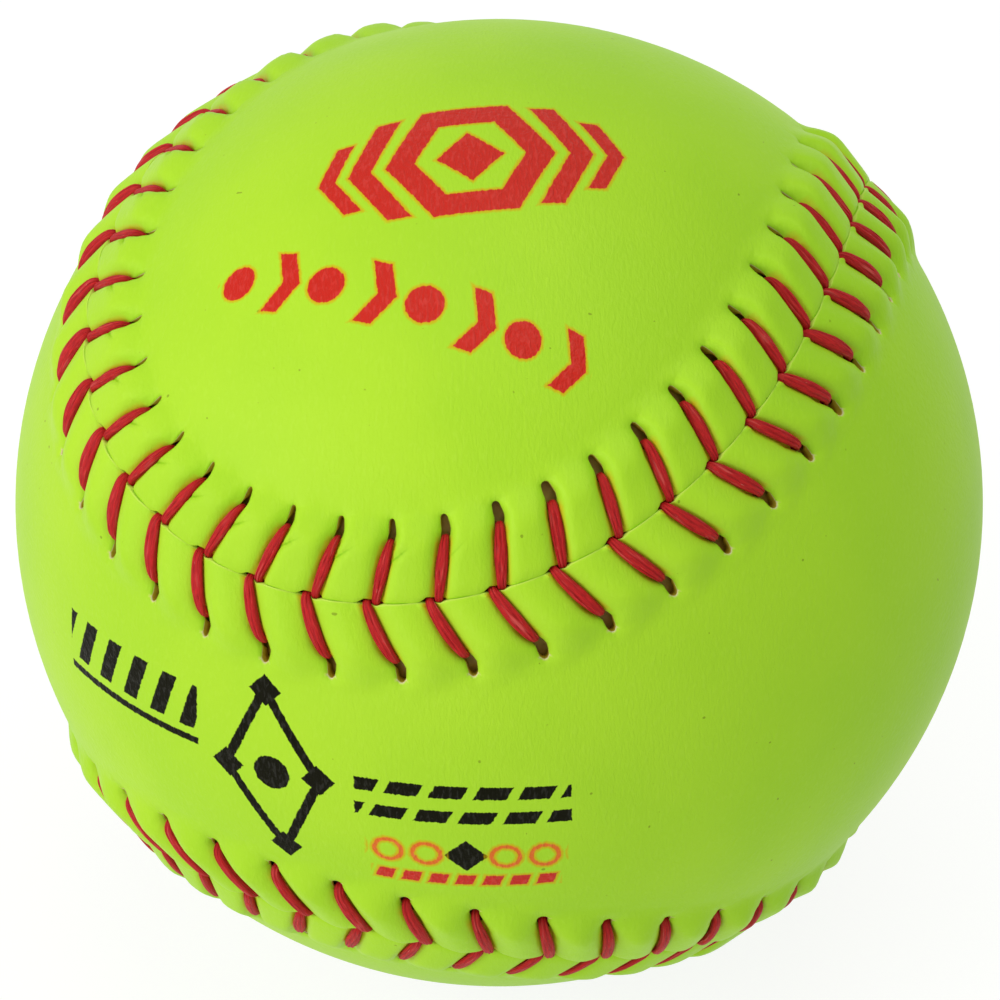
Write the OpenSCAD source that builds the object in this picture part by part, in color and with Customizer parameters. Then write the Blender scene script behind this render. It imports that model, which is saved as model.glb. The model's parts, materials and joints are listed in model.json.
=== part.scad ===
// Softball: a moulded core, its cement coat, two waisted cover panels and two seam threads
// Origin at the centre of the ball, +Z through a lobe of panel A, +Y through its waist, lengths in millimetres

/* [Ball] */
// Radius of the smooth cover, away from the raised seam
ball_r = 48.2; // [44:0.1:54]
// Thickness of the cover, away from the seam
cover_t = 1.35; // [1.1:0.05:2]
// Thickness of the cement coat on the core
coat_t = 0.2; // [0.1:0.05:0.5]
// Room between the cement coat and the back of the cover
bed_gap = 0.25; // [0.2:0.01:0.5]
// Play between the core and its coat
coat_play = 0.02; // [0.01:0.01:0.1]

/* [Seam] */
// Stitches round the whole seam
stitch_shares = 88; // [80:8:96]
// How far the two lobes of a panel swell, beside the ball
bend_share = 0.49; // [0.42:0.01:0.56]
// How far the seam climbs towards each waist, beside the ball
climb_share = 1.16; // [0.95:0.01:1.3]
// How far a pair of legs meets behind its two holes, in stitches
lag_share = 0.38; // [0.1:0.02:0.44]
// Distance of the needle holes from the seam
hole_reach = 6.4; // [5.6:0.05:8]
// Half the gap where the two panels butt
butt_gap = 0.05; // [0.03:0.01:0.15]
// Cover squeezed under a leg of thread
pinch_t = 0.75; // [0.6:0.05:1.2]
// Cover folded up between two legs of thread
crest_t = 1.85; // [1.5:0.05:2.4]
// Cover at the butting edge, between two legs
edge_t = 0.95; // [0.7:0.05:1.3]
// Fall of the fold beside the needle holes
crest_fall = 0.55; // [0.2:0.05:0.9]
// Fall of the fold beside the butting edge
crest_dip = 0.2; // [0.05:0.05:0.4]
// Width of the raised border past the needle holes
fade_w = 3.6; // [2.8:0.1:4.6]
// Length of a needle hole past its thread
hole_tail = 1.45; // [0.8:0.05:1.8]

/* [Thread] */
// Diameter of the waxed thread
thread_d = 1; // [0.7:0.05:1.1]
// Radius of the thread's bends, at its centre
bend_r = 0.7; // [0.6:0.02:0.8]
// Play round the thread
thread_play = 0.1; // [0.08:0.01:0.12]
// Room over the thread where it runs under the cover
run_room = 0.2; // [0.18:0.01:0.4]
// Play between the two threads where they pass in the gap
pass_play = 0.44; // [0.4:0.01:0.5]

/* [Hidden] */

// Radii from the inside out
panel_r = ball_r - cover_t;
coat_r = panel_r - bed_gap;
core_r = coat_r - coat_t - coat_play;
run_r = coat_r + thread_play + thread_d / 2;
lift_r = run_r + thread_d / 2 + run_room;
valley_r = lift_r + pinch_t;
leg_r = valley_r + thread_play + thread_d / 2;
crest_r = lift_r + crest_t;
edge_r = lift_r + edge_t;
tail_r = (valley_r + ball_r) / 2;
tail_crest_r = (crest_r + ball_r) / 2;

// Steps of the arc length table, and stitches over an eighth of the seam
table_shares = 720;
eighth_shares = stitch_shares / 8;
// Columns of the cover per stitch: two beside each thread and one on each fold
column_shares = 3;
// Stretches across a panel, from one border to the other
rung_shares = 10;
// Halves of the ball that hold the two panels
side_a = 1;
side_b = -1;

// How much thinner all round the thread is at its bends, and how far a length is tucked into the next
bend_nip = thread_d / 40;
tuck = thread_d / 10;
tuck_a = tuck / bend_r * 180 / PI;

// Half width of the needle holes and of the notches where the threads pass
hole_w = thread_d / 2 + 2 * thread_play;
notch_w = thread_d / 2 + thread_play + pass_play / 2;
pass_w = (thread_d + pass_play) / 2;
// Where the border's rows of points lie, measured square to the seam
notch_n = hole_w;
brow_n = notch_n * 2;
near_n = hole_reach - hole_w;
far_n = hole_reach + hole_tail;
mid_n = (brow_n + near_n) / 2;
fade_n = hole_reach + fade_w;

function unit(v) = v / norm(v);
function swing(t) = cos(t) + bend_share * cos(3 * t);
function sway(t) = sin(t) - bend_share * sin(3 * t);
// The seam on a ball of radius one: t runs once round, in degrees
function seam(t) = unit([(swing(t) + sway(t)) / sqrt(2), climb_share * sin(2 * t),
    (swing(t) - sway(t)) / sqrt(2)]);
function turn_at(i) = 360 * i / table_shares;
// Arc length from the start of the seam to each step of the table
arcs = [for (i = 0, a = 0; i <= table_shares; a = a + norm(seam(turn_at(i + 1)) - seam(turn_at(i))),
    i = i + 1) a];
arc_all = arcs[table_shares];
table = [for (i = [0 : table_shares]) [arcs[i] / arc_all * stitch_shares, turn_at(i)]];
pitch = arc_all * ball_r / stitch_shares;
// Seam parameter at a place counted in stitches
function place(k) = lookup(k - stitch_shares * floor(k / stitch_shares), table);
function along(t) = unit(seam(t + 0.5) - seam(t - 0.5));
function across(t) = unit(cross(seam(t), along(t)));
// Direction of the point k stitches along the seam and n square to it, n above zero on panel A
function aim(k, n) =
    let (t = place(k), a = n / ball_r * 180 / PI)
    seam(t) * cos(a) + across(t) * sin(a);
// How far the columns of the border lean back at a distance n from the seam, in stitches
function lean(n) = lag_share * max(0, 1 - n / hole_reach);

// Border points: c is the column, n the distance, w half the width of the valley in length
function column_at(c, n, w) =
    let (k = floor(c / column_shares), j = c - k * column_shares)
    k - lean(n) + (j == 0 ? -w : j == 1 ? w : pitch / 2) / pitch;
function row(side, n, fold_n, w, low_r, high_r) =
    [for (c = [0 : column_shares * stitch_shares - 1])
        let (fold = c % column_shares == 2)
        aim(column_at(c, fold ? fold_n : n, w), side * (fold ? fold_n : n)) * (fold ? high_r : low_r)];
// Width of the valley, wide at the notch and narrow at the hole
function valley_w(n) = hole_w + (pass_w + notch_w - hole_w) * max(0, 1 - n / hole_reach);
function ring(side, r) = [for (k = [0 : stitch_shares - 1]) aim(k, side * fade_n) * r];
// Point a share u of the way from direction p to direction q
function slide(p, q, u) =
    let (a = acos(p * q))
    (p * sin((1 - u) * a) + q * sin(u * a)) / sin(a);
// Points of the rungs that cross the panel between the two sides of its ring
function rungs(side, r, tip) =
    [for (j = [1 : stitch_shares / 2 - 1], i = [1 : rung_shares - 1])
        slide(aim(tip - j, side * fade_n), aim(tip + j, side * fade_n), i / rung_shares) * r];

// A closed panel: outer skin, inner skin, butting edge and needle holes
module panel(side, tip) {
    columns = column_shares * stitch_shares;
    half = stitch_shares / 2;
    outer = concat(
        row(side, notch_n, butt_gap, valley_w(0), valley_r, edge_r),
        row(side, brow_n, brow_n, valley_w(brow_n), valley_r, crest_r - crest_dip),
        row(side, mid_n, mid_n, valley_w(mid_n), valley_r, crest_r),
        row(side, near_n, near_n, hole_w, valley_r, crest_r - crest_fall),
        row(side, far_n, far_n, hole_w, tail_r, (tail_crest_r + ball_r) / 2),
        ring(side, ball_r),
        rungs(side, ball_r, tip));
    inner = concat(
        row(side, notch_n, butt_gap, valley_w(0), lift_r, lift_r),
        row(side, near_n, near_n, hole_w, lift_r, lift_r),
        row(side, far_n, far_n, hole_w, lift_r, lift_r),
        ring(side, panel_r),
        rungs(side, panel_r, tip));
    outer_rows = 5;
    inner_rows = 3;
    base = len(outer);
    // Index of a column's point in a row, of a ring point and of a rung point
    function at(from, r, c) = from + r * columns + (c + columns) % columns;
    function ring_at(from, rows, k) = from + rows * columns + (k + stitch_shares) % stitch_shares;
    function rung_at(from, rows, j, i) =
        i == 0 ? ring_at(from, rows, tip - j) :
        i == rung_shares ? ring_at(from, rows, tip + j) :
        from + rows * columns + stitch_shares + (j - 1) * (rung_shares - 1) + i - 1;
    function quad(a, b, c, d) = [[a, b, c], [a, c, d]];
    function skin(from, rows, hole_row) = concat(
        [for (r = [0 : rows - 2], c = [0 : columns - 1])
            if (r != hole_row || c % column_shares != 0)
                each quad(at(from, r, c), at(from, r, c + 1), at(from, r + 1, c + 1), at(from, r + 1, c))],
        [for (k = [0 : stitch_shares - 1])
            let (c = k * column_shares)
            each [[at(from, rows - 1, c - 1), at(from, rows - 1, c), ring_at(from, rows, k)],
                [at(from, rows - 1, c), at(from, rows - 1, c + 1), ring_at(from, rows, k)],
                [at(from, rows - 1, c + 1), at(from, rows - 1, c + 2), ring_at(from, rows, k)],
                [at(from, rows - 1, c + 2), ring_at(from, rows, k + 1), ring_at(from, rows, k)]]],
        [for (i = [0 : rung_shares - 1])
            [ring_at(from, rows, tip), rung_at(from, rows, 1, i + 1), rung_at(from, rows, 1, i)]],
        [for (j = [1 : half - 2], i = [0 : rung_shares - 1])
            each quad(rung_at(from, rows, j, i), rung_at(from, rows, j, i + 1),
                rung_at(from, rows, j + 1, i + 1), rung_at(from, rows, j + 1, i))],
        [for (i = [0 : rung_shares - 1])
            [ring_at(from, rows, tip + half), rung_at(from, rows, half - 1, i),
                rung_at(from, rows, half - 1, i + 1)]]);
    function flip(faces) = [for (f = faces) [f[2], f[1], f[0]]];
    walls = concat(
        [for (c = [0 : columns - 1])
            each quad(at(base, 0, c), at(base, 0, c + 1), at(0, 0, c + 1), at(0, 0, c))],
        [for (k = [0 : stitch_shares - 1])
            let (c = k * column_shares, o = outer_rows - 2, m = inner_rows - 2)
            each concat(
                quad(at(0, o, c), at(0, o, c + 1), at(base, m, c + 1), at(base, m, c)),
                quad(at(0, o, c + 1), at(0, o + 1, c + 1), at(base, m + 1, c + 1), at(base, m, c + 1)),
                quad(at(0, o + 1, c + 1), at(0, o + 1, c), at(base, m + 1, c), at(base, m + 1, c + 1)),
                quad(at(0, o + 1, c), at(0, o, c), at(base, m, c), at(base, m + 1, c)))]);
    faces = concat(skin(0, outer_rows, outer_rows - 2), flip(skin(base, inner_rows, inner_rows - 2)), walls);
    polyhedron(points = concat(outer, inner), faces = side == side_a ? flip(faces) : faces, convexity = 12);
}

// Turns a part drawn in the plane of two directions, the first along its X axis
module in_plane(p, q) {
    z = unit(cross(p, q));
    y = cross(z, p);
    multmatrix([[p[0], y[0], z[0], 0], [p[1], y[1], z[1], 0], [p[2], y[2], z[2], 0], [0, 0, 0, 1]]) children();
}
// A bent length of thread, from one angle over a span, thinner by nip all round
module bow(r, from, span, nip) {
    rotate([0, 0, from]) rotate_extrude(angle = span, $fn = r > bend_r ? 90 : 24) translate([r, 0])
        circle(d = thread_d - 2 * nip, $fn = 16);
}
// A leg over the cover, with its two bends down into the hole and the gap
module leg(p, q) {
    reach = acos(p * q);
    rest = asin(bend_r / (leg_r - bend_r));
    in_plane(p, q) {
        bow(leg_r, rest, reach - 2 * rest, 0);
        rotate([0, 0, rest]) translate([leg_r - bend_r, 0, 0])
            bow(bend_r, -90 - rest, 90 + rest + tuck_a, bend_nip);
        rotate([0, 0, reach - rest]) translate([leg_r - bend_r, 0, 0])
            bow(bend_r, -tuck_a, 90 + rest + tuck_a, bend_nip);
    }
}
// A run under the cover, with its two bends up
module run(p, q) {
    reach = acos(p * q);
    rest = asin(bend_r / (run_r + bend_r));
    in_plane(p, q) {
        bow(run_r, rest, reach - 2 * rest, 0);
        rotate([0, 0, rest]) translate([run_r + bend_r, 0, 0])
            bow(bend_r, 180 - tuck_a, 90 - rest + tuck_a, bend_nip);
        rotate([0, 0, reach - rest]) translate([run_r + bend_r, 0, 0])
            bow(bend_r, 90 + rest, 90 - rest + tuck_a, bend_nip);
    }
}
// The short length straight through the cover, drawn thin where it is pulled tight
module pass(p, q) {
    foot = sqrt(pow(run_r + bend_r, 2) - pow(bend_r, 2)) - tuck;
    head = sqrt(pow(leg_r - bend_r, 2) - pow(bend_r, 2)) + tuck;
    in_plane(p, q) translate([foot, 0, 0]) rotate([0, 90, 0])
        cylinder(h = head - foot, d = thread_d - 4 * bend_nip, $fn = 16);
}
// One stitch: a leg on one side, down the gap, under the other panel and up to its next hole
module stitch(k, side) {
    hole = aim(k, side * hole_reach);
    apex = aim(k - lag_share + side * pass_w / pitch, 0);
    next = aim(k + 1, -side * hole_reach);
    leg(hole, apex);
    pass(hole, apex);
    pass(apex, hole);
    run(apex, next);
}
// A thread changes sides at every stitch
module thread(first) {
    for (k = [0 : stitch_shares - 1])
        stitch(k, (k % 2 == 0 ? 1 : -1) * first);
}

// Moulded core of hard foam
module core() {
    color("gainsboro") sphere(r = core_r, $fn = 160);
}
// Thin coat of cement that the cover is bonded to
module cement_coat() {
    color("khaki") difference() {
        sphere(r = coat_r, $fn = 160);
        sphere(r = core_r + coat_play, $fn = 160);
    }
}
// The two waisted halves of the cover
module cover_panel_a() {
    color("greenyellow") panel(side_a, 3 * eighth_shares);
}
module cover_panel_b() {
    color("yellowgreen") panel(side_b, eighth_shares);
}
// The two waxed threads, which swap sides at every stitch
module thread_a() {
    color("crimson") thread(1);
}
module thread_b() {
    color("firebrick") thread(-1);
}

core();
cement_coat();
cover_panel_a();
cover_panel_b();
thread_a();
thread_b();
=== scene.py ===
import bpy
import json
import numpy as np
from mathutils import Matrix, Vector


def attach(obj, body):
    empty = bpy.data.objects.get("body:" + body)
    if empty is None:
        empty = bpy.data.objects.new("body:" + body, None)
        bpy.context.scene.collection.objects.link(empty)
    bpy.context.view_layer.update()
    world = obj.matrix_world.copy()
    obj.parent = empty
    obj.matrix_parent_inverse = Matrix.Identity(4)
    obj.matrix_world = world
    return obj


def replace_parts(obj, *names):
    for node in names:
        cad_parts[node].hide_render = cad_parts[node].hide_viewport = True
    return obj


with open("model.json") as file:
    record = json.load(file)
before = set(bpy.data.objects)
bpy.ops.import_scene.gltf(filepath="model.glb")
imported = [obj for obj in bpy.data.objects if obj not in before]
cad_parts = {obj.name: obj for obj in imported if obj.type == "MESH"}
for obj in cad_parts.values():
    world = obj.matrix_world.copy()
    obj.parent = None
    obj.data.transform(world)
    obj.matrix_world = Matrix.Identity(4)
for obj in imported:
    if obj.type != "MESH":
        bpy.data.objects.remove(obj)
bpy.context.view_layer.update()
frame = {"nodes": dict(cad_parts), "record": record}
scene = bpy.context.scene
mm = 0.001
print("frame loaded")

# The seam, as the part's source draws it: sizes in millimetres, places along it in stitches.
# Panel A lies on its side 1, and panel B on its side -1.
seam = {
    "ballR": -frame["record"]["mounts"][0]["pos_m"][2] / mm,
    "stitches": 88,
    "bend": 0.49,  # how far the lobes of a panel swell
    "climb": 1.16,  # how far the seam climbs towards each waist
    "lag": 0.38,  # how far a pair of legs meets behind its holes
    "leanReach": 6.4,  # how far from the seam a leg begins to lean
    "passW": 0.46,  # half the distance between the two legs where they meet
    "bow": 0.06,  # how far the middle of a leg bends back
    "tips": {1: 33, -1: 11},  # a stitch at the tip of a lobe, about which a panel is even
    "samples": 7200,  # steps in which the curve's length is added up
    "glance": 0.0087,  # radians each way that a direction is taken over
}
sides = (1, -1)
stitches = seam["stitches"]


def unit(v):  # each vector over its own length
    return v / np.linalg.norm(v, axis=-1, keepdims=True)


def ramp(low, high, v):  # 0 below low, 1 above high, 3s^2 - 2s^3 between
    s = np.clip((v - low) / (high - low), 0, 1)
    return s * s * (3 - 2 * s)


def window(start, end, v):  # a ramp up over one stretch, times a ramp down over another
    return ramp(*start, v) * (1 - ramp(*end, v))


def bell(v, width):  # e to the minus (v / width) squared
    return np.exp(-(v / width) ** 2)


def fading(n, reach):  # 1 at the seam, evenly down to 0 at a distance from it
    return (1 - n / reach).clip(0, 1)


def seamAt(t):  # a circle, a counter-turn three times as fast and a climb twice as fast, put on a ball
    swing = np.cos(t) + seam["bend"] * np.cos(3 * t)
    sway = np.sin(t) - seam["bend"] * np.sin(3 * t)
    climb = seam["climb"] * np.sin(2 * t)
    return unit(np.stack([(swing + sway) / 2 ** 0.5, climb, (swing - sway) / 2 ** 0.5], -1))


def courseAt(t):  # direction of the seam
    return unit(seamAt(t + seam["glance"]) - seamAt(t - seam["glance"]))


turns = np.linspace(0, 2 * np.pi, seam["samples"] + 1)
hops = np.linalg.norm(np.diff(seamAt(turns), axis=0), axis=-1)
arcs = np.concatenate([[0], np.cumsum(hops)])
pitch = arcs[-1] * seam["ballR"] / stitches
places = np.arange(stitches)
print("one stitch is", round(pitch, 3), "mm")


def turnAt(k):  # how far round its curve the seam is at a place in stitches
    return np.interp(np.mod(k, stitches), arcs / arcs[-1] * stitches, turns)


def aim(k, n):  # direction of the point k stitches along the seam and n millimetres square to it
    t = turnAt(k)
    p = seamAt(t)
    square = unit(np.cross(p, courseAt(t)))
    a = (n / seam["ballR"] + 0 * t)[..., None]
    return p * np.cos(a) + square * np.sin(a)


def leanAt(side, n):  # how far behind its hole a leg lies, in stitches: evenly more, plus half a sine
    left = fading(n, seam["leanReach"])
    bow = seam["bow"] / pitch * np.sin(np.pi * left)
    return (seam["lag"] - side * seam["passW"] / pitch) * left + bow


def slide(p, q, u):  # the point a share u of the way from p to q round the ball
    a = np.arccos(np.clip(np.sum(p * q, -1), -1, 1))[..., None]
    return (p * np.sin((1 - u) * a) + q * np.sin(u * a)) / np.sin(a)


def along(at, values):  # a value for each stitch, straight between the stitches where it is given
    return np.interp(places, at, values)


def steady(value):  # the same value for each stitch
    return value + 0.0 * places


def addObject(name, data):
    made = bpy.data.objects.new(name, data)
    scene.collection.objects.link(made)
    return made


sharpTurn = np.radians(62)  # an edge that turns further stays sharp


def makeObject(name, verts, faces, material):  # a smooth mesh piece, from points in millimetres
    mesh = bpy.data.meshes.new(name)
    mesh.from_pydata((verts * mm).tolist(), [], faces)
    mesh.update()
    mesh.shade_smooth()
    mesh.set_sharp_from_angle(angle=sharpTurn)
    mesh.materials.append(material)
    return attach(addObject(name, mesh), "root")


def addNode(tree, kind, inputs=None, **settings):  # inputs are values, or outputs of other nodes
    made = tree.nodes.new(kind)
    for key, value in settings.items():
        setattr(made, key, value)
    for key, value in (inputs or {}).items():
        if isinstance(value, bpy.types.NodeSocket):
            tree.links.new(value, made.inputs[key])
        else:
            made.inputs[key].default_value = value
    return made


def calc(operation, *values):  # a sum in the node tree that the sockets among the values belong to
    tree = next(value.id_data for value in values if isinstance(value, bpy.types.NodeSocket))
    return addNode(tree, "ShaderNodeMath", dict(enumerate(values)), operation=operation).outputs[0]


def times(a, b):
    return calc("MULTIPLY", a, b)


def minus(a, b):
    return calc("SUBTRACT", a, b)


def absolute(value):
    return calc("ABSOLUTE", value)


def merge(kind, *values):  # smallest or largest of several values
    result = values[0]
    for value in values[1:]:
        result = calc(kind, result, value)
    return result


def weighed(a, weightA, b, weightB):  # sum of two values, each times its weight
    return calc("ADD", times(a, weightA), times(b, weightB))


def soft(value, low, high):  # smooth step from 0 at low to 1 at high, also downwards
    inputs = {0: value, 1: low, 2: high}
    return addNode(value.id_data, "ShaderNodeMapRange", inputs, interpolation_type="SMOOTHSTEP").outputs[0]


def noise(place, scale, detail, distortion=0.0):
    inputs = {"Vector": place, "Scale": scale, "Detail": detail, "Distortion": distortion}
    return addNode(place.id_data, "ShaderNodeTexNoise", inputs).outputs[0]


def attribute(tree, name):
    return addNode(tree, "ShaderNodeAttribute", attribute_name=name).outputs["Fac"]


def blendColour(factor, a, b):
    return addNode(factor.id_data, "ShaderNodeMix", {0: factor, 6: a, 7: b}, data_type="RGBA").outputs[2]


def stain(colour, where, strength, ink):  # lays an ink over a colour
    return blendColour(times(where, strength), colour, (*ink, 1))


def bumpOf(height, depth, strength):
    inputs = {"Strength": strength, "Distance": depth, "Height": height}
    return addNode(height.id_data, "ShaderNodeBump", inputs).outputs[0]


def startMaterial(name):
    made = bpy.data.materials.new(name)
    made.use_nodes = True
    made.node_tree.nodes.clear()
    return made, made.node_tree


def closeMaterial(tree, **inputs):  # the surface shader and the output
    inputs = {key.replace("_", " "): value for key, value in inputs.items()}
    shader = addNode(tree, "ShaderNodeBsdfPrincipled", inputs)
    addNode(tree, "ShaderNodeOutputMaterial", {"Surface": shader.outputs[0]})


# The cover, in millimetres. n, and a name that ends in N, is a distance from the seam. x, and a name that
# ends in X, is one along it from a thread, and a name that ends in W is a width.
cover = {
    "columns": 20,  # columns of points in one stitch
    "crowding": 0.45,  # how much closer they stand beside the thread
    "lipRows": [0.005, 0.1, 0.2, 0.34, 0.55, 0.85],
    "legRows": [*np.linspace(1.2, 4.4, 10), 4.72],
    "farRows": [8.15, 8.45, 8.8, 9.2, 9.6, 10.0, 10.4, 10.8],
    "backRows": [0.02, 3.0],  # rows of the back on this side of the holes
    "calmN": (9.8, 10.8),  # where the columns stop crowding
    "holeSteps": 3,  # columns from a hole's middle to its side, and rows to its end
    "holeMid": 6.45,  # middle of a needle hole
    "holeHalf": 1.45,  # half its length
    "holeRound": 2.6,  # power of the rounded oblong that it is
    "holeCalm": (1, 2.2),  # sizes of that oblong between which the grid is square again
    "liftR": 47.9,  # back of the cover over the threads
    "backR": 46.85,  # back of the cover elsewhere
    "liftEnd": (6.1, 7.1),  # where it falls from the one to the other
    "ringN": 11.4,  # where the border meets the field
    "ringSteps": 4,  # points of that ring in one stitch
    "rungs": 36,  # strips of the field from side to side
}
pillow = {  # the soft ridge between two legs
    "crestH": 1.42,  # height over the ball
    "bedW": 0.55,  # half the width of the bed between two pillows, for a thread
    "bedH": {1: 0.0, -1: 0.14},  # height of that bed
    "bedEnd": (3.0, 4.8),  # where it comes down to the ball
    "bedDip": (0.15, 5.3, 1.2),  # depth, place and width of the dip before the hole
    "drop": 0.2,  # how much lower it is beside the next thread, as a share
    "swell": (0.1, 5.0, 1.6),  # how much higher near the holes, as a share, and place and width
    "endN": 9.9,  # where it has faded to the ball
    "fadeN": 4.8,  # over what length
    "endCut": 0.5,  # how much sooner beside the next thread, before chance adds to it
    "endPower": 1.5,  # power of the way across that this grows with
    "frontSteep": {1: 4.4, -1: 1.8},  # power of the flank beside the thread before it
    "hindSteep": {1: 3.4, -1: 1.6},  # and beside the next one
    "farSteep": 1.3,  # past the holes
    "roundness": 0.64,  # power that rounds the flank's foot
    "farRoundness": 0.3,  # and what is added past the holes
    "pastN": (7.0, 8.2),  # where the flank passes the holes
    "evenN": (7.6, 8.9),  # where the bed has ended
    "mix": 0.5,  # share that two pillows have of each other there
    "mixW": 1.2,
    "mixN": (7.0, 7.8),  # where that begins
    "hollow": (0.06, 8.4, 1.0),  # depth, place and width of the hollow behind a pillow
    "hollowShare": (0.4, 0.6),  # its share at the threads, and what is added between them
}
lip = {  # the edge of a panel at the seam
    "droop": (0.36, 4.8, 1.4),  # depth, reach and power of a pillow's droop to the seam
    "roll": {1: 0.16, -1: 0.04},  # how much more it rolls over
    "rollN": 1.1,
    "edge": {1: 0.08, -1: 0.02},  # depth of its rounded edge
    "edgeN": {1: 0.6, -1: 0.3},
    "nick": 0.26,  # how much deeper at a thread
    "nickW": 0.7,
    "otherNick": (1.1, 0.6),  # place and width of the nick for the other panel's thread
    "notch": (0.3, 0.42),  # how far a thread pulls the edge back, and over what width
    "otherNotch": {1: 0.44, -1: 0.24},  # how far the other panel's thread does
    "otherNotchAt": (1.0, 0.5),  # place and width of that
    "notchN": 1.8,
    "flap": (0.55, 0.78, 0.32, 0.3, 0.45),  # a raised corner: height, place and width along, then across
}
fold = {  # a short crease that runs out from beside a leg, with a line of painted shade along it
    "depth": 0.45,
    "startN": 3.9,
    "startX": 0.7,
    "slope": 0.9,
    "width": 0.3,
    "middle": (1.3, 0.8),  # place and half length of its deepest part
    "shadeX": ((0.2, 0.5), (0.7, 2.6)),  # where its line of painted shade starts and ends
    "shadeN": ((2.0, 3.0), (5.6, 6.4)),
}
slot = {
    "halfW": 0.55,  # half the width of the rim round a hole
    "rims": [(0.1, 0.2), (0.08, 0.8)],  # depths and widths of the pressed edge round it
    "glowAndDyeW": (0.66, 0.12),  # half the width of the orange tint beside a thread, and how softly it ends: painted glow of the thread's red light, partly dye bled from it
    "glowAndDyeN": (5.2, 5.8),
}
cut = {  # how raw the leather is, as the material reads it: 0 is the skin, 1 the back; panel B's lip takes low values that paint a highlight along its edge
    "edge": 0.15,
    # painted highlight: panel B's lip and the row behind it are paler green
    "lip": {1: 0.0, -1: 0.14},
    "lipNext": {1: 0.0, -1: 0.08},
    "holeEnd": {1: 0.0, -1: 0.3},
    "rim": 0.45,  # down a hole
    "deep": 0.55,
    "rimShare": 0.2,  # shares of the cover's thickness where those two are
    "deepShare": 0.55,
    "raw": (0.28, 1.1, 0.45),  # a pale patch of a lip: how raw, its place and its width
    "rawNext": 0.6,  # its share in the next row
}
steps = cover["holeSteps"]
count = cover["columns"] * stitches  # columns of points round the seam
total = cover["ringSteps"] * stitches  # points of the ring where the field starts
blockShare = steps / cover["columns"]
blockPull = cover["crowding"] * np.sin(2 * np.pi * blockShare) / (2 * np.pi)
blockW = (blockShare - blockPull) * pitch  # half the width of a hole's block

# What changes along the seam: chance, and what the photograph shows of a few stretches
dice = np.random.default_rng(7)
pillowLot = {side: dice.uniform(0.9, 1.0, stitches) for side in sides}
creaseLot = {side: dice.uniform(0.0, 1.0, stitches) for side in sides}
creaseLot[1][71:80] = 0.9
pillowLot[1][25:38] *= 0.7
foldLot = {1: along([60, 64, 79, 81], [0, 1, 1, 0]), -1: steady(0)}
flapLot = {1: steady(0), -1: along([0, 12, 74, 82], [1, 0, 0, 1])}
rawLot = {1: 1.0 * ((places > 19) & (places < 37)), -1: steady(0)}
slotW = {
    1: along([0, 5, 20, 60, 64, 74, 79, 82, 85, 88], [0.7, 0.62, 0.8, 0.8, 0.5, 0.56, 0.78, 1.0, 0.88, 0.7]),
    -1: along([5, 20, 37, 60, 72, 80], [0.65, 0.95, 0.95, 0.8, 0.62, 0.92]),
}
slotW = {side: slotW[side] * dice.uniform(0.9, 1.08, stitches) for side in sides}
slotL = {1: steady(1), -1: along([5, 20, 24, 37, 44, 60], [1, 0.9, 0.5, 0.6, 0.9, 1])}


def bump(size, n):  # a bell of a height, about a place, of a width
    return size[0] * bell(n - size[1], size[2])


def bodyAt(side, k, share, n):  # a pillow's height, lower towards the next thread, faded out at its end
    crease = creaseLot[side][k]
    height = pillow["crestH"] * pillowLot[side][k] * (1 - pillow["drop"] * share ** 2)
    end = pillow["endN"] - share ** pillow["endPower"] * (pillow["endCut"] + crease)
    width = pillow["fadeN"] - crease * share
    return height * (1 + bump(pillow["swell"], n)) * (1 - ramp(0, 1, (n - end + width) / width))


def mixedBody(side, k, x, share, n):  # past the holes two pillows run into each other, by a bell and a ramp
    mixed = pillow["mix"] * bell(x, pillow["mixW"]) * ramp(*pillow["mixN"], n)
    other = (k + np.where(x < 0, 1, -1)) % stitches
    return bodyAt(side, k, share, n) * (1 - mixed) + bodyAt(side, other, 1 - share, n) * mixed


def riseAt(side, x, n, half):  # flank of a pillow: 1 less a power of what is left to its crest, rounded
    past = ramp(*pillow["pastN"], n)
    away = ((np.abs(x) - pillow["bedW"]) / (half - pillow["bedW"])).clip(0, 1)
    steep = np.where(x > 0, pillow["frontSteep"][side], pillow["hindSteep"][side])
    steep = steep + (pillow["farSteep"] - steep) * past
    rise = (1 - (1 - away) ** steep) ** (pillow["roundness"] + pillow["farRoundness"] * past)
    return rise + (1 - rise) * ramp(*pillow["evenN"], n)


def droopAt(side, n):  # two powers of how near the seam is
    depth, reach, power = lip["droop"]
    return depth * fading(n, reach) ** power + lip["roll"][side] * fading(n, lip["rollN"]) ** 2


def edgeAt(side, x, n):  # a square of how near the seam is, deeper in bells at the two threads
    place, width = lip["otherNick"]
    corner = bell(x, lip["nickW"]) + bell(x + side * place, width)
    return (lip["edge"][side] + lip["nick"] * corner) * fading(n, lip["edgeN"][side]) ** 2


def flapAt(side, k, x, n):  # the product of two bells
    height, placeX, widthX, placeN, widthN = lip["flap"]
    return height * flapLot[side][k] * bell(x + placeX, widthX) * bell(n - placeN, widthN)


def foldGap(x, n):  # how far beyond the sloping line of a crease
    return n - fold["startN"] - fold["slope"] * (x - fold["startX"])


def foldAt(side, k, x, n):  # the product of two bells, across the line and along it
    place, length = fold["middle"]
    return fold["depth"] * foldLot[side][k] * bell(foldGap(x, n), fold["width"]) * bell(x - place, length)


def rimAt(side, k, x, n):  # bells about the oval round a hole
    hole = (k + (x < 0)) % stitches
    span = cover["holeHalf"] * np.where(n > cover["holeMid"], slotL[side][hole], 1)
    ring = np.hypot(x / slot["halfW"] / slotW[side][hole], (n - cover["holeMid"]) / span)
    return sum(depth * bell(ring - 1, width) for depth, width in slot["rims"])


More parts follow.
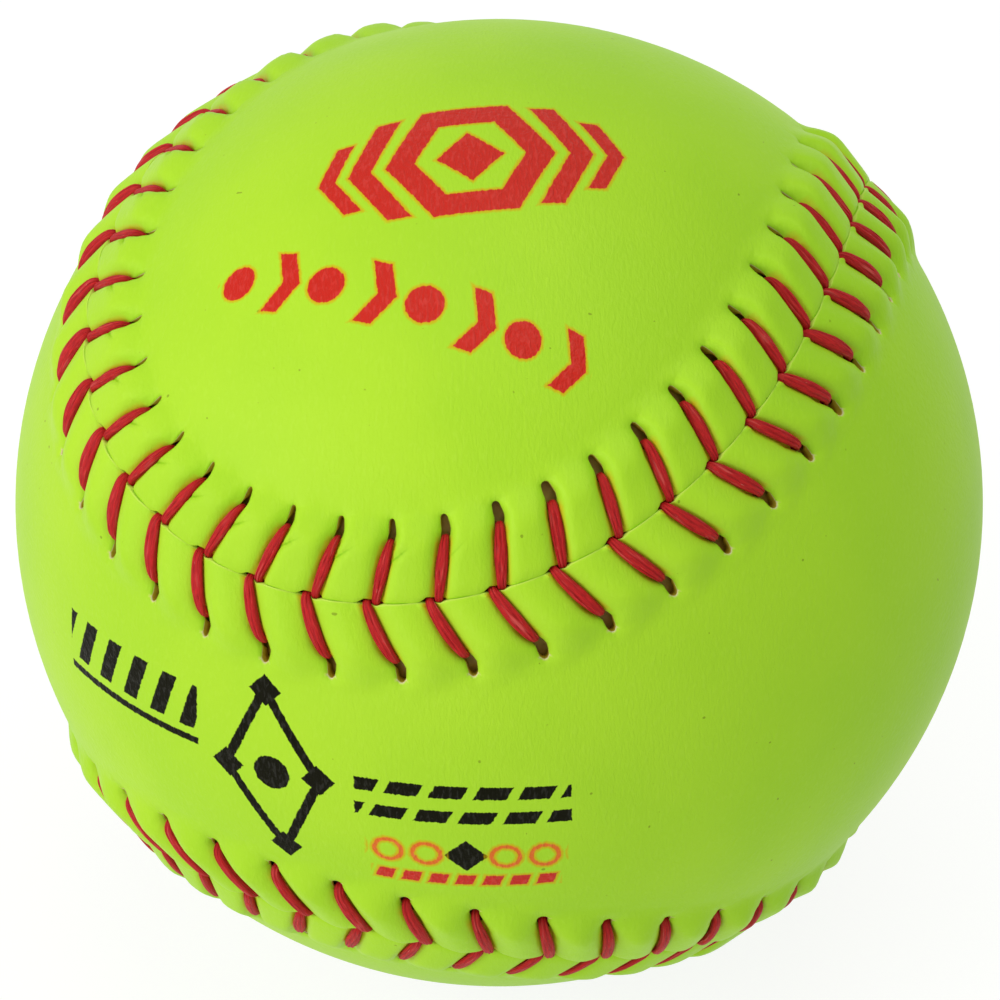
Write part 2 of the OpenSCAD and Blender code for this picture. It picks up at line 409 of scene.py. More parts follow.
def coverRadius(side, k, x, n, gauge):  # the ball, its thread beds and its pillows, less droops and creases
    half = pitch * gauge / 2
    share = (x < 0) + x / half / 2
    rise = riseAt(side, x, n, half)
    bed = pillow["bedH"][side] * (1 - ramp(*pillow["bedEnd"], n)) - bump(pillow["bedDip"], n)
    body = np.maximum(mixedBody(side, k, x, share, n), bed) - bed
    still, between = pillow["hollowShare"]
    hollow = bump(pillow["hollow"], n) * (still + between * np.sin(np.pi * share))
    r = seam["ballR"] + bed + (body - droopAt(side, n)) * rise - hollow + flapAt(side, k, x, n)
    return r - foldAt(side, k, x, n) - edgeAt(side, x, n) - rimAt(side, k, x, n)


def borderGrid(side, rows):  # columns lean with the threads, rows follow the seam, both bend round each hole
    n = rows[:, None, None]
    k = places[None, :, None]
    s = (np.arange(cover["columns"]) / cover["columns"])[None, None, :]
    calm = 1 - ramp(*cover["calmN"], n)
    share = s - cover["crowding"] * calm * np.sin(2 * np.pi * s) / (2 * np.pi)
    share = np.where(s > 0.5, share - 1, share)
    line = k + (s > 0.5) - leanAt(side, n) + 0 * share
    e = 0.05
    gauge = np.linalg.norm(aim(line + e, side * n) - aim(line - e, side * n), axis=-1)
    gauge = gauge / (2 * e) * seam["ballR"] / pitch
    share = share * (1 + (1 / gauge - 1) * (1 - 2 * np.abs(share)) ** 2 * calm)
    x = share * pitch * gauge
    y = n - cover["holeMid"] + 0 * x
    acrossHole, alongHole = np.abs(x) / blockW, np.abs(y) / cover["holeHalf"]
    square = np.maximum(acrossHole, alongHole)
    power = cover["holeRound"]
    rounded = (acrossHole ** power + alongHole ** power) ** (1 / power)
    hold = 1 - ramp(*cover["holeCalm"], square)
    f = 1 + (square / rounded.clip(1e-6) - 1) * hold
    hole = (k + (s > 0.5)) % stitches
    x = x * f * (1 - (1 - slotW[side][hole]) * hold)
    y = y * f * (1 - (1 - slotL[side][hole]) * hold * (y > 0))
    n = y + cover["holeMid"]
    place, width = lip["otherNotchAt"]
    ownDepth, ownWidth = lip["notch"]
    recess = ownDepth * bell(x, ownWidth) + lip["otherNotch"][side] * bell(x + side * place, width)
    n = n + recess * fading(n, lip["notchN"]) ** 2
    return k + np.zeros(x.shape, int), line + x / (pitch * gauge), x, n, gauge


def gridFaces(base, rows, skipRow):  # quads of a closed band, without the block that each hole takes
    r, c = np.meshgrid(np.arange(rows - 1), np.arange(count), indexing="ij")
    place = c % cover["columns"]
    beside = (place < steps) | (place >= cover["columns"] - steps)
    hole = (r >= skipRow) & (r < skipRow + 2 * steps) & beside
    r, c = r[~hole], c[~hole]
    d = (c + 1) % count
    low, high = base + r * count, base + (r + 1) * count
    return np.stack([low + c, low + d, high + d, high + c], -1)


def holeLoop(base, row):  # the points round each hole's block, a row for each stitch
    around = np.arange(-steps, steps)
    up = np.arange(2 * steps)
    loopR = row + np.concatenate([0 * around, up, 2 * steps + 0 * around, 2 * steps - up])
    loopC = np.concatenate([around, steps + 0 * up, -around, -steps + 0 * up])
    c = (places[:, None] * cover["columns"] + loopC) % count
    return base + loopR * count + c


def bandFaces(a, b):  # quads between two rows of closed loops
    return np.stack([a, np.roll(a, -1, 1), np.roll(b, -1, 1), b], -1).reshape(-1, 4)


def fieldPoints(side, r):  # the ring where the field starts, and the rungs that cross it
    ring = aim(np.arange(total) / cover["ringSteps"], side * cover["ringN"])
    tip = cover["ringSteps"] * seam["tips"][side]
    j = np.arange(1, total // 2)[:, None]
    u = (np.arange(1, cover["rungs"]) / cover["rungs"])[None, :, None]
    rungs = slide(ring[(tip - j) % total], ring[(tip + j) % total], u)
    return np.concatenate([ring, rungs.reshape(-1, 3)]) * r


def fieldFaces(side, base, last):  # fans from the last row to the ring, and quads between the rungs
    tip = cover["ringSteps"] * seam["tips"][side]
    m = np.arange(total)
    fine = [last + (5 * m + i) % count for i in range(6)]
    ringA, ringB = base + m, base + (m + 1) % total
    fans = [(fine[0], fine[1], ringA), (fine[1], fine[2], ringA), (fine[2], ringB, ringA),
            (fine[2], fine[3], ringB), (fine[3], fine[4], ringB), (fine[4], fine[5], ringB)]
    tris = [np.stack(f, -1) for f in fans]
    j, i = np.meshgrid(np.arange(0, total // 2 + 1), np.arange(cover["rungs"] + 1), indexing="ij")
    rung = base + total + (j - 1) * (cover["rungs"] - 1) + i - 1
    rung = np.where(i == 0, base + (tip - j) % total, rung)
    rung = np.where(i == cover["rungs"], base + (tip + j) % total, rung)
    rung[0], rung[-1] = base + tip, base + (tip + total // 2) % total
    quads = np.stack([rung[:-1, :-1], rung[:-1, 1:], rung[1:, 1:], rung[1:, :-1]], -1)
    tris.append(quads[0][:, [0, 2, 3]])
    tris.append(quads[-1][:, [0, 1, 2]])
    return tris, quads[1:-1].reshape(-1, 4)


def makePanel(name, side, material):  # one waisted half of the cover: skin, back, butting edge and holes
    blockRows = cover["holeMid"] + np.linspace(-cover["holeHalf"], cover["holeHalf"], 2 * steps + 1)
    nearRows = [*cover["lipRows"], *cover["legRows"]]
    outerN = np.array([*nearRows, *blockRows, *cover["farRows"]])
    innerN = np.array([*cover["backRows"], *blockRows, cover["farRows"][-1]])
    k, place, x, n, gauge = borderGrid(side, outerN)
    outer = aim(place, side * n) * coverRadius(side, k, x, n, gauge)[..., None]
    backPlace, backN = borderGrid(side, innerN)[1:4:2]
    backR = cover["liftR"] + (cover["backR"] - cover["liftR"]) * ramp(*cover["liftEnd"], backN)
    inner = aim(backPlace, side * backN) * backR[..., None]
    skin = outer.reshape(-1, 3)
    both = np.concatenate([skin, inner.reshape(-1, 3)])
    base = len(skin)
    outerLoop = holeLoop(0, len(nearRows))
    innerLoop = holeLoop(base, len(cover["backRows"]))
    rim, deep = [both[outerLoop] * (1 - share) + both[innerLoop] * share
                 for share in (cut["rimShare"], cut["deepShare"])]
    rimLoop = len(both) + np.arange(outerLoop.size).reshape(outerLoop.shape)
    deepLoop = rimLoop + rimLoop.size
    fields = [fieldPoints(side, r) for r in (seam["ballR"], cover["backR"])]
    fieldA = len(both) + 2 * rimLoop.size
    fieldB = fieldA + len(fields[0])
    verts = np.concatenate([both, rim.reshape(-1, 3), deep.reshape(-1, 3), *fields])
    trisA, quadsA = fieldFaces(side, fieldA, (len(outerN) - 1) * count)
    trisB, quadsB = fieldFaces(side, fieldB, base + (len(innerN) - 1) * count)
    skinQuads = gridFaces(0, len(outerN), len(nearRows))
    backQuads = gridFaces(base, len(innerN), len(cover["backRows"]))
    edgeQuads = bandFaces(base + np.arange(count)[None, :], np.arange(count)[None, :])
    walls = [bandFaces(rimLoop, outerLoop), bandFaces(deepLoop, rimLoop), bandFaces(innerLoop, deepLoop)]
    turned = [quads[:, ::-1] for quads in (backQuads, quadsB, *walls)]
    quads = np.concatenate([skinQuads, edgeQuads, quadsA, *turned])
    tris = np.concatenate(trisA + [t[:, ::-1] for t in trisB])
    if side == 1:
        quads, tris = quads[:, ::-1], tris[:, ::-1]
    used = np.unique(np.concatenate([quads.ravel(), tris.ravel()]))
    order = np.zeros(len(verts), int)
    order[used] = np.arange(len(used))

    glowAndDyeW, glowAndDyeSoft = slot["glowAndDyeW"]
    # an orange band beside each thread: painted glow of its red light, partly dye bled from it
    glowAndDye = bell((np.abs(x) - glowAndDyeW).clip(0), glowAndDyeSoft) * (1 - ramp(*slot["glowAndDyeN"], n))
    # painted shade: a dark line along each crease
    foldShade = foldLot[side][k] * window(*fold["shadeX"], x) * window(*fold["shadeN"], n)
    marks = {"nearThread": (glowAndDye, 0), "fold": (foldShade, 0), "foldGap": (foldGap(x, n).clip(-1, 1), 1)}
    marks = {label: np.append(on, np.full(len(verts) - base, off)) for label, (on, off) in marks.items()}
    raw = np.zeros(len(verts))
    raw[base:fieldA] = 1
    raw[base:base + count] = cut["edge"]
    patch = (bump(cut["raw"], x[0]) * rawLot[side][k[0]]).ravel()
    # panel B's lip rows are paler: painted highlight along its edge; the patch is pale raw leather
    raw[:count] = cut["lip"][side] + patch
    raw[count:2 * count] = cut["lipNext"][side] + cut["rawNext"] * patch
    raw[outerLoop[:, 4 * steps:6 * steps + 1]] = cut["holeEnd"][side]
    raw[rimLoop] = cut["rim"]
    raw[deepLoop] = cut["deep"]
    raw[fieldB:] = 1
    marks["rawEdgeAndLitLip"] = raw
    made = makeObject(name, verts[used], order[quads].tolist() + order[tris].tolist(), material)
    for label, values in marks.items():
        made.data.attributes.new(label, "FLOAT", "POINT").data.foreach_set("value", values[used])
    print(name, "has", len(quads) * 2 + len(tris), "triangles")
    return made


diagonal = 0.707  # slope of a square that stands on its corner
sheetReach = 0.5  # share of the ball's radius beyond which a print has ended


def spanOf(place, motif):  # millimetres right and up on the flat sheet that touches the ball at a print
    lon, lat, turn = np.radians(motif["at"])
    middle = np.array([np.cos(lat) * np.cos(lon), np.cos(lat) * np.sin(lon), np.sin(lat)])
    east = np.array([-np.sin(lon), np.cos(lon), 0])
    north = np.cross(middle, east)
    rightward = east * np.cos(turn) + north * np.sin(turn)
    upward = north * np.cos(turn) - east * np.sin(turn)
    dots = [addNode(place.id_data, "ShaderNodeVectorMath", {0: place, 1: tuple(v)}, operation="DOT_PRODUCT")
            for v in (middle, rightward, upward)]
    forward, across, above = [dot.outputs["Value"] for dot in dots]
    scale = calc("DIVIDE", seam["ballR"], forward)
    away = times(minus(seam["ballR"] * mm * sheetReach, forward), 1 / mm)
    return times(across, scale), times(above, scale), away


def gapTo(value, band):  # distance outside a band, given by its middle and half its width
    return minus(absolute(minus(value, band[0])), band[1])


def cellOf(u, v, size):  # how far from the middle of its slanting cell a point is
    return calc("WRAP", weighed(u, 1, v, size["slant"]), size["cell"], -size["cell"])


def outTo(u, v):  # root of u^2 + v^2
    squares = weighed(calc("POWER", u, 2), 1, calc("POWER", v, 2), 1)
    return calc("POWER", squares, 0.5)


def squareShape(size, u, v):  # a square on its corner
    sloped = weighed(absolute(u), diagonal, absolute(v), diagonal)
    return minus(sloped, size["square"])


def slopedLine(a, b, slope):
    return weighed(a, slope[0], b, slope[1])


def hexagonShape(size, u, v):  # a hexagon ring round a square, with slanting wings
    au, av = absolute(u), absolute(v)
    hexagon = merge("MAXIMUM", av, slopedLine(au, av, size["slope"]))
    wingLine = slopedLine(au, av, size["wingSlope"])
    parts = [gapTo(hexagon, size["ring"]), squareShape(size, u, v)]
    for middle, half, tall in size["wings"]:
        wing = gapTo(wingLine, (middle, half))
        parts.append(merge("MAXIMUM", wing, gapTo(v, (0, tall))))
    return merge("MINIMUM", *parts)


def chevronShape(size, u, v):  # chevrons and discs by turns, on a shallow arch
    v = calc("ADD", v, times(times(u, u), size["arch"]))
    cell = cellOf(u, v, size)
    point = slopedLine(cell, absolute(v), size["slope"])
    chevron = merge("MAXIMUM", gapTo(point, size["chevron"]), gapTo(v, size["tall"]))
    discAt, discR = size["disc"]
    return merge("MINIMUM", chevron, minus(outTo(minus(cell, discAt), v), discR))


def barShape(size, u, v):  # slanting bars in one row or two, or over a rule
    row = absolute(v) if size["twin"] else v
    bar = gapTo(cellOf(u, v, size), size["bar"])
    bars = merge("MAXIMUM", bar, gapTo(row, size["tall"]))
    return merge("MINIMUM", bars, gapTo(v, size["rule"])) if "rule" in size else bars


def diamondShape(size, u, v):  # a diamond with squares on its corners and a disc in its middle
    au, av = absolute(u), absolute(v)
    parts = [gapTo(slopedLine(au, av, size["slope"]), size["line"])]
    for cornerU, cornerV in size["corners"]:
        parts.append(squareShape(size, minus(au, cornerU), minus(av, cornerV)))
    return merge("MINIMUM", *parts, minus(outTo(u, v), size["disc"]))


def ringShape(size, u, v):  # small rings, with room between them for the square
    ring = gapTo(outTo(cellOf(u, v, size), v), size["ring"])
    return merge("MAXIMUM", ring, minus(size["room"], absolute(u)))


# Generic motifs in millimetres. At: longitude and latitude of the middle, and turn, in degrees.
# A slope is the weights of the two directions in a slanting line. A band is its middle and half its width.
prints = {
    "hexagon": {"shape": hexagonShape, "at": (-77.9, 79.4, 20.6), "slope": (0.866, 0.5), "ring": (5.9, 1.25),
                "square": 2.3, "wingSlope": (0.88, 0.46), "wings": [(9.6, 1.05, 6.6), (12.7, 0.8, 4.6)]},
    "chevronRow": {"shape": chevronShape, "at": (-83.0, 58.9, -1.0), "arch": 0.004, "cell": 5.12, "slant": 0,
                   "slope": (0.9, 0.44), "chevron": (-1.2, 0.85), "tall": (0, 3.2), "disc": (2.5, 1.9),
                   "span": (0, 20.4)},
    "dashRow": {"shape": barShape, "at": (-65.7, -11.7, 0.0), "twin": False, "cell": 1.3, "slant": -0.3,
                "bar": (0, 0.85), "tall": (0, 0.7), "span": (0, 9.0)},
    "slantBars": {"shape": barShape, "at": (-108.6, 3.6, 3.4), "twin": False, "cell": 1.93, "slant": -0.35,
                  "bar": (0, 0.95), "tall": (0.9, 2.5), "rule": (-2.9, 0.4), "span": (-1.0, 9.6)},
    "diamond": {"shape": diamondShape, "at": (-88.4, 0.3, 6.0), "slope": (0.88, 0.475), "line": (4.45, 0.5),
                "corners": [(4.9, 0), (0, 9.2)], "square": 1.25, "disc": 1.9},
    "twinBars": {"shape": barShape, "at": (-68.4, 0.1, 0.3), "twin": True, "cell": 2.15, "slant": -0.5,
                 "bar": (0, 1.6), "tall": (1.5, 0.75), "span": (2.15, 10.6)},
    "mark": {"shape": squareShape, "at": (-65.6, -7.6, 0.0), "square": 1.5},
    "ringRow": {"shape": ringShape, "at": (-65.6, -7.6, 0.0), "cell": 1.9, "slant": 0, "ring": (1.35, 0.22),
                "room": 2.0, "span": (0, 9.6)},
}


def motifGap(place, name):  # distance outside a motif, which ends at its span and near its sheet
    size = prints[name]
    u, v, away = spanOf(place, size)
    ends = [gapTo(u, size["span"])] if "span" in size else []
    return merge("MAXIMUM", size["shape"](size, u, v), away, *ends)


coverLook = {  # colours are linear red, green and blue
    "dark": (0.43, 0.765, 0.028),
    "pale": (0.475, 0.805, 0.032),
    "cloud": 45,  # scales of the noises
    "grain": 2600,
    "wrinkle": 3000,
    "speck": 1500,
    "wrinkleTurn": -0.49,  # turn of the level line that the wrinkles run round, in radians
    "wrinkleWrap": 0.015,  # metres of pattern that one radian round it gets
    "wrinkleInk": (0.15, (0.56, 0.86, 0.08)),  # strength and colour
    "speckInk": (0.7, (0.2, 0.3, 0.01)),
    "threadGlowAndDye": (0.7, (0.74, 0.40, 0.003)),  # out of the threads: painted glow of their red light, partly dye bled from them
    "haloInk": (0.85, (0.68, 0.48, 0.003)),  # out of the prints
    # painted shade: a dark green line along the creases
    "creaseShade": (0.75, (0.24, 0.60, 0.002)),
    "inks": [(("hexagon", "chevronRow", "dashRow"), (0.62, 0.012, 0.003), True),
             (("slantBars", "diamond", "twinBars", "mark"), (0.009, 0.009, 0.004), False),
             (("ringRow",), (0.80, 0.16, 0.01), True)],  # prints, colour, and if it is bright
    "fray": (0.16, 0.3),  # millimetres that grain and wrinkles move the edge of a print by
    "edge": 0.06,  # and half its softness
    "halo": 0.42,  # how far a halo reaches
    "wrinkleGlint": (0.4, 1.15, 0.04),  # strength of the painted highlight on the ink's wrinkles, and how its colour pales
    "gloss": 0.13,
    "inkGloss": 0.1,  # more on bright ink, less on black
    # the first, pale green, paints a highlight on panel B's lip; the others are raw leather
    "cutInks": [(0.0, 0.15, (0.58, 0.80, 0.10)), (0.16, 0.28, (0.82, 0.76, 0.46)),
                (0.3, 0.42, (0.64, 0.48, 0.05)), (0.5, 0.85, (0.44, 0.28, 0.012))],
    "bump": (0.00013, 0.4, 0.6),  # depth in metres, its strength, and what print adds
    "rough": (0.4, 0.12, 0.08),  # bare, what grain adds and what print takes off
}


def wrappedPlace(place):  # place along a line through the ball, and angle round it
    inputs = {"Vector": place, "Angle": coverLook["wrinkleTurn"]}
    tree = place.id_data
    turned = addNode(tree, "ShaderNodeVectorRotate", inputs, rotation_type="Z_AXIS").outputs[0]
    x, y, z = addNode(tree, "ShaderNodeSeparateXYZ", {0: turned}).outputs
    angle = calc("ARCTAN2", calc("ADD", y, z), minus(z, y))
    inputs = {0: x, 1: times(angle, coverLook["wrinkleWrap"]), 2: 0.0}
    return addNode(tree, "ShaderNodeCombineXYZ", inputs).outputs[0]


def printInks(place, colour, wrinkle, fray):  # the printed colour, where it is printed, and the gloss
    look = coverLook
    covered, gloss = 0.0, look["gloss"]
    strength, gain, lift = look["wrinkleGlint"]
    for names, ink, bright in look["inks"]:
        gap = merge("MINIMUM", *[motifGap(place, name) for name in names])
        gap = calc("ADD", gap, fray)
        if bright:
            colour = stain(colour, soft(gap, look["halo"], look["edge"]), *look["haloInk"])
        inside = soft(gap, look["edge"], -look["edge"])
        # painted highlight: the ink is paler on its wrinkles
        wrinkleGlint = times(soft(wrinkle, 0.5, 0.66), strength)
        glintColour = tuple(min(1, c * gain + lift) for c in ink)
        colour = blendColour(inside, colour, blendColour(wrinkleGlint, (*ink, 1), (*glintColour, 1)))
        covered = calc("MAXIMUM", covered, inside)
        shine = look["inkGloss"] if bright else -look["inkGloss"]
        gloss = calc("ADD", gloss, times(inside, shine))
    return colour, covered, gloss


def coverMaterial():  # satin leather: fine wrinkles round the ball, rare specks, painted glow and dye beside the threads, prints with painted highlights on their wrinkles, painted shade in folds, painted highlight on panel B's lip
    material, tree = startMaterial("satinCover")
    look = coverLook
    place = addNode(tree, "ShaderNodeTexCoord").outputs["Object"]
    cloud = noise(place, look["cloud"], 3)
    grain = noise(place, look["grain"], 2)
    wrinkle = noise(wrappedPlace(place), look["wrinkle"], 2, 0.5)
    speck = noise(place, look["speck"], 0)
    colour = blendColour(soft(cloud, 0.3, 0.7), (*look["dark"], 1), (*look["pale"], 1))
    colour = stain(colour, soft(wrinkle, 0.5, 0.75), *look["wrinkleInk"])
    colour = stain(colour, soft(speck, 0.87, 0.91), *look["speckInk"])
    frayGrain, frayWrinkle = look["fray"]
    fray = weighed(minus(grain, 0.5), frayGrain, minus(wrinkle, 0.5), frayWrinkle)
    colour, printed, gloss = printInks(place, colour, wrinkle, fray)
    # painted glow of the threads' red light, partly their dye
    colour = stain(colour, attribute(tree, "nearThread"), *look["threadGlowAndDye"])
    # painted shade in the creases beside the legs
    line = soft(absolute(attribute(tree, "foldGap")), 0.24, 0.03)
    colour = stain(colour, times(line, attribute(tree, "fold")), *look["creaseShade"])
    # raw leather, and a painted highlight on panel B's lip
    raw = attribute(tree, "rawEdgeAndLitLip")
    for low, high, ink in look["cutInks"]:
        colour = stain(colour, soft(raw, low, high), 1, ink)
    depth, strength, printStrength = look["bump"]
    relief = bumpOf(weighed(grain, 0.5, wrinkle, 1.0), depth,
                    calc("ADD", strength, times(printed, printStrength)))
    rough, grainRough, printRough = look["rough"]
    rough = calc("ADD", rough, weighed(grain, grainRough, printed, -printRough))
    closeMaterial(tree, Base_Color=colour, Roughness=rough, Normal=relief, Specular_IOR_Level=gloss)
    return material


coverFinish = coverMaterial()
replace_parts(makePanel("coverPanelA", 1, coverFinish), "cover_panel_a")
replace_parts(makePanel("coverPanelB", -1, coverFinish), "cover_panel_b")
print("cover made")

# A thread: half widths, radii from the ball's middle and lengths in millimetres, angles in radians
thread = {
    "archR": {  # middle of a leg over the cover, at its highest
        1: along([12, 15, 24, 27, 56, 60, 66, 72], [48.63, 48.38, 48.38, 48.63, 48.63, 48.43, 48.43, 48.63]),
        -1: along([62, 66, 71, 75], [48.87, 49.01, 49.01, 48.87]),
    },
    "archPower": 0.6,  # how flat the arch is
    "holeN": {1: steady(5.68), -1: along([15, 20, 36, 41], [5.68, 6.2, 6.1, 5.68])},  # where it goes down
    "tilt": {  # turn of a leg's flat face
        1: along([0, 6, 12, 16, 27, 34, 82, 87], [0.5, 0.3, 0.4, 0.6, 0.5, 0, 0, 0.5]),
        -1: along([0, 6, 12, 16, 27, 34, 58, 63, 71, 76, 82, 87],
                  [0.5, 0.3, 0.4, 0.6, 0.5, 0, 0, -0.55, -0.55, 0, 0, 0.5]),
    },
    "mouthR": 48.1,  # where it goes into a hole
    "gapR": 48.3,  # where it goes down at the seam, and a leg's end at its hole
    "gapLift": 0.25,  # how much higher a leg's other end is
    "underR": 47.35,  # where it turns under the cover
    "runR": 47.25,  # middle of a run under it
    "legAt": np.linspace(0.07, 0.93, 9),  # shares of a leg where its points are, from its hole
    "runAt": np.array([0.12, 0.37, 0.63, 0.88]),
    "widthAt": [0, 0.15, 0.45, 0.8, 1],  # shares of a leg where its width is given
    "width": {1: [0.05, 0.36, 0.67, 0.53, 0.415], -1: [0.05, 0.36, 0.67, 0.58, 0.435]},
    "slotWidth": [0.42, 0.2, 0, 0, 0],  # what a slot as wide as can be adds
    "fullness": {  # share of all this that a leg has
        1: along([52, 58, 76, 81], [1, 0.87, 0.87, 1]),
        -1: along([58, 63, 71, 75], [1, 1.12, 1.12, 1]),
    },
    "deepShare": 0.9,  # share of its width that is left down a hole
    "gapWidth": 0.42,
    "runWidth": 0.44,
    "rings": [3, 2] + [3] * 8 + [2, 3] + [1] * 5,  # rings of points on each stretch between corners
    "points": 26,  # points round the bundle
    "rounding": 0.3,  # how softly it bends into the holes
    "samples": 2 ** 15,  # steps in which the path is smoothed
    "uneven": 0.1,  # how much a leg's width is left to chance
    "thick": (0.29, 0.15),  # half its thickness, and what its full width adds
    "corners": (0.9, 0.8),  # powers that make its section fuller than an oval
    "twistLength": 14,  # of one turn of the strands
    "strands": 1.4,  # grooves across half its width
    "groove": (0.3, 5),  # depth of the grooves between strands, as a share, and their power
    "uvScale": 0.01,  # of the fibre pattern, for one millimetre
}


def bySide(side, lots):  # for each stitch, the value of the side that its leg lies on
    return np.where(side == 1, lots[1], lots[-1])


def threadPath(first):  # corners of each round: up a hole, over the leg, down the seam, under the other panel
    k = places
    side = np.where(k % 2 == 0, 1, -1) * first
    holeN = bySide(side, thread["holeN"])
    nextN = bySide(-side, {s: np.roll(thread["holeN"][s], -1) for s in sides})
    hole = aim(k - leanAt(side, holeN), side * holeN)[:, None]
    low = k - seam["lag"] + side * seam["passW"] / pitch
    apex = aim(low, 0 * side)[:, None]
    nextHole = aim(k + 1 - leanAt(-side, nextN), -side * nextN)[:, None]
    u, v = thread["legAt"], thread["runAt"]
    n = (1 - u) * holeN[:, None]
    leg = aim(k[:, None] - leanAt(side[:, None], n), side[:, None] * n)
    ends = thread["gapR"] + thread["gapLift"] * u
    top = bySide(side, thread["archR"])[:, None]
    legR = ends + (top - ends) * np.sin(np.pi * u) ** thread["archPower"]
    run = slide(apex, nextHole, v[None, :, None]) * thread["runR"]
    corners = [hole * thread["underR"], hole * thread["mouthR"], leg * legR[..., None],
               apex * thread["gapR"], apex * thread["underR"], run]
    onLeg = np.concatenate([[0, 0], u, [1, 1], 1 + 0 * v])
    onRun = np.concatenate([0 * onLeg[:-len(v)], v])
    place = k[:, None] + (low - k)[:, None] * onLeg + (k + 1 - low)[:, None] * onRun
    knots = np.array([thread["width"][s] for s in side]) + bySide(side, slotW)[:, None] * thread["slotWidth"]
    knots = knots * bySide(side, thread["fullness"])[:, None]
    wide = np.stack([np.interp(u, thread["widthAt"], row) for row in knots])
    atHole = knots[:, :1]
    gap = thread["gapWidth"] + np.zeros((len(k), 2))
    under = thread["runWidth"] + np.zeros((len(k), len(v)))
    swell = np.concatenate([atHole * thread["deepShare"], atHole, wide, gap, under], 1)
    lean = bySide(side, thread["tilt"])[:, None] * np.sin(np.pi * u) ** 0.5
    tilt = np.concatenate([0 * lean[:, :2], lean, 0 * gap, 0 * under], 1)
    return np.concatenate(corners, 1), place, swell, tilt


def smoothPath(flat):  # a closed path through its corners, blurred by a bell, with its slope and length
    ends = np.concatenate([[0], np.cumsum(np.linalg.norm(np.roll(flat, -1, 0) - flat, axis=-1))])
    closed = np.concatenate([flat, flat[:1]])
    n = thread["samples"]
    s = np.arange(n) / n * ends[-1]
    wave = np.fft.rfftfreq(n, ends[-1] / n) * 2 * np.pi * thread["rounding"]
    even = [np.interp(s, ends, closed[:, axis]) for axis in range(3)]
    path = np.stack([np.fft.irfft(np.fft.rfft(row) * np.exp(-wave ** 2 / 2), n) for row in even], -1)
    slope = unit(np.roll(path, -1, 0) - np.roll(path, 1, 0))
    return ends, s, path, slope


def fuller(values, power):  # a sine or cosine, with its size raised to a power
    return np.sign(values) * np.abs(values) ** power


def makeThread(name, first, material):  # a flat bundle of strands swept along its path
    corners, place, swell, tilt = threadPath(first)
    each = corners.shape[1]
    ends, s, path, slope = smoothPath(corners.reshape(-1, 3))
    index = np.concatenate([i + np.arange(c) / c for i, c in enumerate(thread["rings"])])
    index = (places[:, None] * each + index).ravel()
    at = np.interp(index, np.arange(len(ends)), ends)

    def sample(rows):  # each column of the path at the rings
        return np.stack([np.interp(at, s, column, period=ends[-1]) for column in rows.T], -1)

    def spread(rows, last):  # a value of the corners at the rings
        return np.interp(index, np.arange(rows.size + 1), np.append(rows.ravel(), last))

    def chance(values):  # a value of each stitch at the rings
        return np.interp(index, (places + 0.3) * each, values, period=stitches * each)

    centre, tangent = sample(path), unit(sample(slope))
    width = courseAt(turnAt(spread(place, place[0, 0] + stitches)))
    width = unit(width - tangent * np.sum(width * tangent, -1, keepdims=True))
    depth = np.cross(tangent, width)
    turn = spread(tilt, tilt[0, 0])[:, None] * np.sign(np.sum(depth * centre, -1, keepdims=True))
    width, depth = width * np.cos(turn) + depth * np.sin(turn), depth * np.cos(turn) - width * np.sin(turn)
    fullW = spread(swell, swell[0, 0])
    lot = np.random.default_rng(11 + first).uniform(-1, 1, (2, stitches))
    halfW = fullW * (1 + thread["uneven"] * chance(lot[0]))
    thin, thicker = thread["thick"]
    halfH = thin + thicker * fullW / swell.max()
    twist = at / thread["twistLength"] + chance(lot[1])
    a = np.arange(thread["points"]) / thread["points"] * 2 * np.pi
    across = fuller(np.cos(a), thread["corners"][0])
    up = fuller(np.sin(a), thread["corners"][1])
    strand = across * thread["strands"] * np.sign(up + 1e-9) + twist[:, None]
    depthShare, power = thread["groove"]
    groove = (0.5 + 0.5 * np.cos(2 * np.pi * strand)) ** power
    rise = up * halfH[:, None] * (1 - depthShare * groove)
    reach = across * halfW[:, None]
    verts = centre[:, None] + width[:, None] * reach[..., None] + depth[:, None] * rise[..., None]
    rings, points = groove.shape
    i, j = np.meshgrid(np.arange(rings), np.arange(points), indexing="ij")
    row, after = i * points, (i + 1) % rings * points
    beside = (j + 1) % points
    faces = np.stack([row + j, row + beside, after + beside, after + j], -1).reshape(-1, 4)
    made = makeObject(name, verts.reshape(-1, 3), faces.tolist(), material)
    u = np.append(at, ends[-1]) * thread["uvScale"]
    v = np.arange(points + 1) / points
    corner = [np.stack([u[i + di], v[j + dj]], -1) for di, dj in ((0, 0), (0, 1), (1, 1), (1, 0))]
    corner = np.stack(corner, 2).astype(np.float32)
    made.data.uv_layers.new(name="strands").data.foreach_set("uv", corner.ravel())
    # the grooves also carry painted shade in the material
    made.data.attributes.new("groove", "FLOAT", "POINT").data.foreach_set("value", groove.ravel())
    print(name, "has", len(faces) * 2, "triangles")
    return made


threadLook = {  # colours are linear red, green and blue; an ink is a strength and a colour
    "dark": (0.46, 0.006, 0.009),
    "bright": (0.65, 0.014, 0.018),
    "paleStrand": (0.6, (0.80, 0.13, 0.12)),
    # painted shade in the grooves between the strands
    "grooveShade": (0.5, (0.22, 0.003, 0.005)),
    # painted glints on the fibres, partly pale fibres
    "glintAndPaleFibre": (0.6, (0.80, 0.42, 0.34)),
    "fibre": ((0, 0, 0.02), (110, 36, 1)),  # turn and scale of the fibres
    "strand": ((0, 0, 0), (30, 9, 1)),
    "strandBump": 0.7,
    "bumpDepth": 0.00014,
    "rough": (0.42, 0.3),  # smooth, and what fibres add
    "gloss": 0.25,
}


